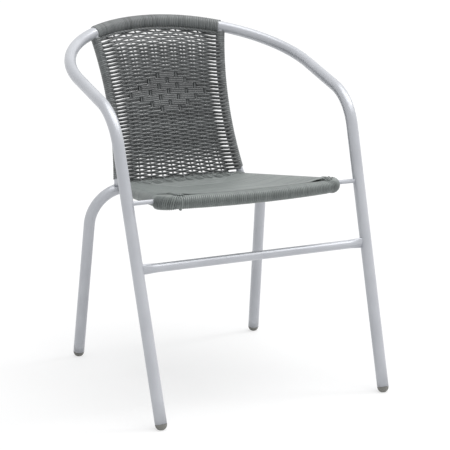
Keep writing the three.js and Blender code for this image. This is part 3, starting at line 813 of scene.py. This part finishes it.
# Twisted pair of strands that edges the weave under the rail
TWIST_SPAN = 142
TWIST_POINTS = 241
TWIST_FORWARD = 10.2
TWIST_DROP = 15.6
TWIST_RADIUS = 1.5
TWIST_STRAND = (3.4, 2.9)
TWIST_TURN_POINTS = 15
TWIST_TONE = 0.95


def twist_edge():
    made = Strands()
    line = rail_at(np.linspace(-TWIST_SPAN, TWIST_SPAN, TWIST_POINTS))
    line += FRONT * TWIST_FORWARD - UP * TWIST_DROP
    for start in (0, math.pi):
        out = spiral(line, TWIST_TURN_POINTS, start)
        made.add(line + out * TWIST_RADIUS, out, TWIST_STRAND, TWIST_TONE)
    made.piece("rail_edge_twist", BACK, ("rail_edge_strand",))


# Upper strand of the seat, wound from side to side
SIDE_STRAND = (4.2, 2.4)
SIDE_TURNS = 78
SIDE_START = -158
SIDE_END = 137
SIDE_UNEVEN = 0.3
SIDE_TONE = 0.45
SIDE_TONE_SPREAD = 0.22
# Painted shade where the upper strand faces sideways round the side rails
SIDE_PAINTED_SHADE = 0.3
SIDE_SHARES = np.concatenate([[-0.995, -0.98], np.linspace(-0.95, 0.95, 59), [0.98, 0.995]])
SIDE_RAIL_LENGTH = 350.0
SIDE_OUT = unit(np.array([1.0, (SEAT_SPAN - SEAT_REAR_SPAN) / SIDE_RAIL_LENGTH, 0.0]))
LAP_POINTS = 9

# Where it keeps close behind the front roll, and how it leaves it
HUG_SPAN = 115
HUG_POWER = 1.15
ROLL_SETBACK = 11.5

# Foremost turns, which bridge the seat's front corners between these spans
LOOSE_TURNS = 3
LOOSE_RISE = 3.0
LOOSE_DROP = 5.0
BRIDGE_INNER_SPANS = (128, 158)
BRIDGE_OUTER_SPANS = (186, 198)

# Rearmost turns, which are woven round the upright strands
REAR_WAVE = 2.9
REAR_WAVE_SETBACKS = (96, 130)
REAR_WAVE_SPAN = 137
# Painted shade on the rearmost turns, in the crease where the seat meets the back: its depth, and
# the shares of the turns over which it comes in
REAR_PAINTED_SHADE = 0.28
REAR_PAINTED_SHADE_SHARES = (0.84, 0.96)


def front_line(x):
    """Setback of the foremost turn: close behind the roll, then off to the side rail."""
    x = np.abs(x)
    close = seat_front_point(x)[..., 1] + ROLL_SETBACK
    turn = seat_front_point(HUG_SPAN)[1] + ROLL_SETBACK
    edge = side_rail_at(SIDE_START)[0]
    share = np.clip((x - HUG_SPAN) / (edge - HUG_SPAN), 0, 1)
    return np.where(x < HUG_SPAN, close, turn + (SIDE_START - turn) * share**HUG_POWER)


def bridging(x):
    """1 where the foremost turns bridge a front corner of the seat, and 0 elsewhere."""
    span = np.abs(x)
    return ease(span, *BRIDGE_INNER_SPANS) * (1 - ease(span, *BRIDGE_OUTER_SPANS))


def side_lap(rail, out):
    """Half a turn round a side rail, from below to above."""
    ring = outer_half(out, LAP_POINTS)
    rise = ease(ring[:, 2:], 0, 1)
    return rail + ring * (SIDE_LAYER + (SEAT_LAYER - SIDE_LAYER) * rise), ring


def side_top(k, xs):
    """One turn's run over the top, from left to right."""
    fore = front_line(xs)
    ys = fore + (SIDE_END - fore) * k / (SIDE_TURNS - 1)
    column = np.interp(xs, COLUMN_SHARES * REAR_WAVE_SPAN, COLUMNS)
    wave = REAR_WAVE * np.cos(math.pi * (column + k)) * ease(ys, *REAR_WAVE_SETBACKS)
    bridge = LOOSE_RISE * bridging(xs) * (k < LOOSE_TURNS)
    return np.column_stack([xs, ys, seat_top(xs, ys) + wave + bridge])


def side_bottom(k, xs):
    """One turn's run below, from right to left, which leads on to the next turn."""
    fore = front_line(xs)
    onward = k + (1 - SIDE_SHARES) / 2
    ys = fore + (SIDE_END - fore) * onward / (SIDE_TURNS - 1)
    return np.column_stack([xs, ys, seat_underside(xs, ys, SIDE_LAYER)])[::-1]


def side_layer():
    route = Route()
    for k in range(SIDE_TURNS):
        share = k / (SIDE_TURNS - 1)
        rail = side_rail_at(SIDE_START + (SIDE_END - SIDE_START) * share)
        xs = SIDE_SHARES * rail[0]
        lift = UP * dice.uniform(-SIDE_UNEVEN, SIDE_UNEVEN)
        left_lap, left_ring = side_lap(rail * MIRROR, SIDE_OUT * MIRROR)
        right_lap, right_ring = side_lap(rail, SIDE_OUT)
        route.stretch(left_lap, left_ring)
        route.stretch(side_top(k, xs) + lift, UP)
        route.stretch(right_lap[::-1], right_ring[::-1])
        route.stretch(side_bottom(k, xs), -UP)
        # Painted shade on the rearmost turns, where the seat meets the back
        painted_rear_shade = REAR_PAINTED_SHADE * ease(share, *REAR_PAINTED_SHADE_SHARES)
        route.end_turn(SIDE_TONE - painted_rear_shade + dice.uniform(-SIDE_TONE_SPREAD, SIDE_TONE_SPREAD))
    return route.gathered()


# Lower strand of the seat, wound from the front roll to the rear bar
FRONT_TURNS = 80
FRONT_SPAN = 160
FRONT_STRAND = (4.45, 3.4)
FRONT_STRAND_THINNER = 0.3
FRONT_STRAND_DEEPER = 1.2
FRONT_TONE = 0.45
FRONT_TONE_SPREAD = 0.16
FRONT_SHARES = np.concatenate([[0.015, 0.035], np.linspace(0.07, 0.93, 14), [0.965, 0.985]])
FRONT_FAN_SHARE = 0.2
ROLL_POINTS = 11
REAR_SPAN = 119
BAR_LAYER = TUBE_RADIUS + 1.5

# How far it dips below the upper strand, and the distances behind the roll where it does
TUCK_TOP = 2.4
TUCK_TOP_SETBACKS = (1, 11)
TUCK_TOP_REAR = 15
TUCK_UNDER = 2.6
TUCK_UNDER_SETBACKS = (0, 15)
DROP_IN_SETBACKS = (2, 10)
DROP_OUT_SETBACKS = (40, 60)

# Painted light and shade of the roll, besides what the lamps give
CREST_PAINTED_HIGHLIGHT = 0.3
FACE_PAINTED_SHADE = 0.38


def upright(facing):
    """1 where a strand faces sideways, and 0 where it faces up or down."""
    return 1 - np.abs(facing[:, 2])


def roll_painted_light(facing):
    """Painted highlight along the crest of the roll and painted shade on its upright face."""
    return CREST_PAINTED_HIGHLIGHT * np.maximum(facing[:, 2], 0) - FACE_PAINTED_SHADE * upright(facing)


def front_top(front, rear):
    """One turn's run over the top, below the upper strand."""
    flat = between(front[:2], rear[:2], FRONT_SHARES)
    behind = flat[:, 1] - front[1]
    tuck = TUCK_TOP * ease(behind, *TUCK_TOP_SETBACKS)
    tuck = tuck * ease(flat[:, 1], BAR_SETBACK, BAR_SETBACK - TUCK_TOP_REAR)
    drop = ease(behind, *DROP_IN_SETBACKS) * (1 - ease(behind, *DROP_OUT_SETBACKS))
    tuck += LOOSE_DROP * bridging(front[0]) * drop
    return np.column_stack([flat, seat_top(flat[:, 0], flat[:, 1]) - tuck])


def front_bottom(front, onward, rear):
    """One turn's run below, from the rear bar to the next turn's place on the roll."""
    flat = between(onward[:2], rear[:2], FRONT_SHARES)[::-1]
    tuck = TUCK_UNDER * ease(flat[:, 1] - front[1], *TUCK_UNDER_SETBACKS)
    low = seat_underside(flat[:, 0], flat[:, 1], SEAT_LAYER)
    return np.column_stack([flat, low + tuck])


def front_layer():
    route = Route()
    shares = 2 * np.arange(FRONT_TURNS + 1) / (FRONT_TURNS - 1) - 1
    for share, following in zip(shares[:-1], shares[1:]):
        front = seat_front_point(FRONT_SPAN * share)
        onward = seat_front_point(FRONT_SPAN * following)
        rear = np.array([REAR_SPAN * share, BAR_SETBACK, BAR_HEIGHT])
        out = unit(np.array([front[0] / SEAT_SPAN * FRONT_FAN_SHARE, -1.0, 0.0]))
        round_roll = outer_half(out, ROLL_POINTS)
        round_bar = outer_half(REAR, ROLL_POINTS)[::-1]
        route.stretch(front + round_roll * SEAT_LAYER, round_roll)
        route.stretch(front_top(front, rear), UP)
        route.stretch(rear + round_bar * BAR_LAYER, round_bar)
        route.stretch(front_bottom(front, onward, rear), -UP)
        route.end_turn(FRONT_TONE + dice.uniform(-FRONT_TONE_SPREAD, FRONT_TONE_SPREAD))
    return route.gathered()


# Front corners of the seat: wraps of the bend, slanted wraps over them, and crossing ends
CORNER_STEPS = 18
FAN_REACHES = np.array([3.0, 8.0, 14.0, 20.0, 27.0])
FAN_FALL = 4.0
FAN_FALL_REACHES = (12, 28)
FAN_WIDTH = 4.0
FAN_INNER_WIDTHS = np.linspace(2.6, 3.6, len(FAN_REACHES))
FAN_DEPTH = 2.8
FAN_SHORT_START = 11
FAN_SHORT_SHARE = 0.5
FAN_DROP_REACHES = (2, 8)
SLANT_START = 3
SLANT_SHIFT = 6
SLANT_RISE = 2.1
SLANT_RISE_STEPS = 5
SLANT_STRAND = (3.5, 2.8)
SLANT_TONE = 0.4
SLANT_TONE_SPREAD = 0.3
CROSS_STRAND = (3.2, 2.2)
CROSS_POINTS = 11
CROSS_BEHIND = 16
CROSS_AHEAD = 6
CROSS_RISE = 2.9
CROSS_RISE_SHARE = 0.08
CROSS_TUCK = 2.5
CROSS_TUCK_SHARE = 0.3
# Start and end of each crossing end, from the middle plane, and its tone
CROSSINGS = ((164, 161, 0.95), (170, 166, 0.2), (176, 170, 0.8), (182, 175, 0.3))


def corner_bend():
    """Right front bend of the seat frame, from the side rail to the front rail."""
    inner = seat_front_point(SEAT_SPAN - SEAT_CORNER)
    return rounded_corner(SEAT_REAR, SEAT_FRONT_CORNER, inner, SEAT_CORNER, CORNER_STEPS)


def fan_wrap(centre, out, ring, short):
    """One strand round the bend, with both ends run in to the seat, and its facing directions."""
    ends = len(FAN_REACHES)
    fall = FAN_FALL * ease(FAN_REACHES, *FAN_FALL_REACHES)
    low = centre - out * FAN_REACHES[:, None] - UP * (SEAT_LAYER - fall)[:, None]
    reach = FAN_REACHES
    if short:
        reach = reach * FAN_SHORT_SHARE
        fall = fall + LOOSE_DROP * ease(reach, *FAN_DROP_REACHES)
    high = centre - out * reach[:, None] + UP * (SEAT_LAYER - fall)[:, None]
    path = np.vstack([low[::-1], centre + ring * SEAT_LAYER, high])
    return path, np.vstack([np.tile(-UP, (ends, 1)), ring, np.tile(UP, (ends, 1))])


def corner_fan(made, side):
    """Strands of one front corner: side is 1 for the right one and -1 for the left one."""
    flip = np.array([side, 1, 1])
    bend = corner_bend()
    along = unit(np.gradient(bend, axis=0))
    outs = unit(np.cross(UP, along))
    outs = outs * np.sign(outs[:, 0] - outs[:, 1])[:, None]
    middle = np.full(ROLL_POINTS, FAN_WIDTH)
    width = np.concatenate([FAN_INNER_WIDTHS, middle, FAN_INNER_WIDTHS[::-1]])
    for k in range(len(bend)):
        ring = outer_half(outs[k], ROLL_POINTS)
        path, facing = fan_wrap(bend[k], outs[k], ring, k >= FAN_SHORT_START)
        tone = FRONT_TONE + dice.uniform(-FRONT_TONE_SPREAD, FRONT_TONE_SPREAD)
        # Painted highlight on the crest of each corner wrap and painted shade on its upright face
        made.add(path * flip, facing * flip, (width, FAN_DEPTH), tone + roll_painted_light(facing))
    for k in range(SLANT_START, CORNER_STEPS):
        ring = outer_half(outs[k], ROLL_POINTS)
        slant = along[k] * np.linspace(-SLANT_SHIFT, SLANT_SHIFT, ROLL_POINTS)[:, None]
        rise = SLANT_RISE * ease(CORNER_STEPS - k, 0, SLANT_RISE_STEPS)
        path = bend[k] + ring * (SEAT_LAYER + rise) + slant
        tone = SLANT_TONE + dice.uniform(-SLANT_TONE_SPREAD, SLANT_TONE_SPREAD)
        # Painted highlight on the crest of each slanted wrap and painted shade on its upright face
        made.add(path * flip, ring * flip, SLANT_STRAND, tone + roll_painted_light(ring))
    cross_corner(made, bend, flip)


def cross_corner(made, bend, flip):
    """Short ends of strand that cross the corner from the seat to the crest of the roll."""
    share = np.linspace(0, 1, CROSS_POINTS)
    behind = CROSS_BEHIND - (CROSS_BEHIND + CROSS_AHEAD) * share
    tuck = CROSS_TUCK * (1 - ease(share, 0, CROSS_TUCK_SHARE))
    for start, end, tone in CROSSINGS:
        x = start + (end - start) * share
        y = np.interp(x, bend[::-1, 0], bend[::-1, 1]) + behind
        outward = start - SEAT_SPAN + SEAT_CORNER
        radius = SEAT_LAYER + CROSS_RISE + CROSS_RISE_SHARE * outward
        ahead = np.maximum(-behind, 0) / radius
        climb = np.sqrt(1 - ahead**2)
        path = np.column_stack([x, y, SEAT_HEIGHT + radius * climb - tuck])
        facing = FRONT * ahead[:, None] + UP * climb[:, None]
        made.add(path * flip, facing * flip, CROSS_STRAND, tone)


# One loop of strand that was tied round the finished roll, with its knot below
TIE_PLACE = -166
TIE_TURN = (-2.1, 1.5)
TIE_POINTS = 19
TIE_RADIUS = SEAT_LAYER + 1.6
TIE_STRAND = (3.4, 2.4)
TIE_TONE = 0.8
KNOT_FORWARD = 3.0
KNOT_DROP = SEAT_LAYER + 1.4
KNOT_RADIUS = 1.8
KNOT_POINTS = 13
KNOT_STRAND = (2.8, 2.8)
KNOT_DEPTH_SHARE = 0.5
KNOT_HEIGHT_SHARE = 0.8
KNOT_TONE = 0.3
KNOT_FACING = np.array([0, -1.0, 0.2])


def tie(made):
    centre = seat_front_point(TIE_PLACE)
    ring = ring_round(FRONT, np.linspace(*TIE_TURN, TIE_POINTS))
    made.add(centre + ring * TIE_RADIUS, ring, TIE_STRAND, TIE_TONE)
    bow = np.linspace(0, 2 * math.pi, KNOT_POINTS)
    wave = np.sin(bow)
    loop = np.column_stack([np.cos(bow), KNOT_DEPTH_SHARE * wave, KNOT_HEIGHT_SHARE * wave])
    knot = centre + FRONT * KNOT_FORWARD - UP * KNOT_DROP + KNOT_RADIUS * loop
    made.add(knot, KNOT_FACING, KNOT_STRAND, KNOT_TONE)


def weave_seat_sides():
    made = Strands()
    path, facing, tones = side_layer()
    # Painted shade where the strand faces sideways round the side rails
    made.add(path, facing, SIDE_STRAND, tones - SIDE_PAINTED_SHADE * upright(facing))
    replaced = ("side_winding_left", "side_winding_right", "seat_weave")
    made.piece("seat_side_strand", SEAT, replaced)


def weave_seat_front():
    made = Strands()
    path, facing, tones = front_layer()
    width = FRONT_STRAND[0] - FRONT_STRAND_THINNER * upright(facing)
    depth = FRONT_STRAND[1] + FRONT_STRAND_DEEPER * upright(facing)
    # Painted highlight on the crest of the roll and painted shade on its upright face
    made.add(path, facing, (width, depth), tones + roll_painted_light(facing))
    replaced = ("seat_front_winding", "rear_bar_winding")
    made.piece("seat_front_strand", SEAT, replaced)


def wrap_seat_corners():
    made = Strands()
    corner_fan(made, 1)
    corner_fan(made, -1)
    tie(made)
    made.piece("seat_corner_strands", SEAT)


# Studio
FLOOR_REACH_METRES = 60
FLOOR_GREY = (0.8, 0.8, 0.8, 1)
FLOOR_SEEN_GREY = (0.36, 0.36, 0.36, 1)
FLOOR_GLOW = 0.66
SKY_COLOUR = (0.97, 0.98, 1.0, 1)
SKY_STRENGTH = 0.42
# Name, strength, width in degrees and direction of each lamp
LAMPS = (
    ("overhead", 1.85, 55, (0.22, -0.12, 1.0)),
    ("side", 0.6, 14, (1.0, -0.1, 0.9)),
)


def seen_directly(nodes, links):
    """1 for camera, glossy and transmission rays, and 0 for rays that only light the object."""
    light_path = nodes.new("ShaderNodeLightPath")
    seen = light_path.outputs["Is Camera Ray"]
    for kind in ("Is Glossy Ray", "Is Transmission Ray"):
        more = nodes.new("ShaderNodeMath")
        more.operation = "MAXIMUM"
        links.new(seen, more.inputs[0])
        links.new(light_path.outputs[kind], more.inputs[1])
        seen = more.outputs[0]
    return seen


def show(nodes, links, plain, seen, surface):
    """Use one shader for the light that spreads, and another where the surface itself is seen."""
    mix = nodes.new("ShaderNodeMixShader")
    links.new(seen_directly(nodes, links), mix.inputs[0])
    links.new(plain.outputs[0], mix.inputs[1])
    links.new(seen.outputs[0], mix.inputs[2])
    links.new(mix.outputs[0], surface)


def floor_material():
    """Pale floor that keeps the object's shadow and is white round it."""
    material, nodes, links, shader = node_material("studio_floor")
    shader.inputs["Base Color"].default_value = FLOOR_GREY
    shader.inputs["Roughness"].default_value = 1
    shader.inputs["Specular IOR Level"].default_value = 0
    pale = nodes.new("ShaderNodeBsdfDiffuse")
    pale.inputs["Color"].default_value = FLOOR_SEEN_GREY
    glow = nodes.new("ShaderNodeEmission")
    glow.inputs["Strength"].default_value = FLOOR_GLOW
    both = nodes.new("ShaderNodeAddShader")
    links.new(pale.outputs[0], both.inputs[0])
    links.new(glow.outputs[0], both.inputs[1])
    show(nodes, links, shader, both, nodes["Material Output"].inputs["Surface"])
    return material


def make_floor():
    mesh = bpy.data.meshes.new("floor")
    signs = ((-1, -1), (1, -1), (1, 1), (-1, 1))
    corners = [(x * FLOOR_REACH_METRES, y * FLOOR_REACH_METRES, 0) for x, y in signs]
    mesh.from_pydata(corners, [], [(0, 1, 2, 3)])
    floor = bpy.data.objects.new("floor", mesh)
    scene.collection.objects.link(floor)
    mesh.materials.append(floor_material())


def make_world():
    world = bpy.data.worlds.new("studio")
    scene.world = world
    world.use_nodes = True
    nodes = world.node_tree.nodes
    sky = nodes["Background"]
    sky.inputs["Color"].default_value = SKY_COLOUR
    sky.inputs["Strength"].default_value = SKY_STRENGTH
    white = nodes.new("ShaderNodeBackground")
    white.inputs["Color"].default_value = (1, 1, 1, 1)
    white.inputs["Strength"].default_value = 1
    show(nodes, world.node_tree.links, sky, white, nodes["World Output"].inputs["Surface"])


def make_lamps():
    for name, strength, width, toward in LAMPS:
        data = bpy.data.lights.new(name, "SUN")
        data.energy = strength
        data.angle = math.radians(width)
        lamp = bpy.data.objects.new(name, data)
        lamp.rotation_euler = (
            math.atan2(math.hypot(toward[0], toward[1]), toward[2]),
            0,
            math.atan2(toward[1], toward[0]) + math.pi / 2,
        )
        scene.collection.objects.link(lamp)


def make_camera():
    data = bpy.data.cameras.new("camera")
    data.lens = CAMERA_LENS
    data.sensor_width = CAMERA_SENSOR
    camera = bpy.data.objects.new("camera", data)
    camera.location = CAMERA_PLACE
    camera.rotation_euler = CAMERA_TURN
    scene.collection.objects.link(camera)
    scene.camera = camera


make_frame()
wind_rail()
wind_posts()
weave_back()
stand_warps()
twist_edge()
weave_seat_sides()
weave_seat_front()
wrap_seat_corners()
make_floor()
make_world()
make_lamps()
make_camera()
scene.view_settings.view_transform = "Standard"
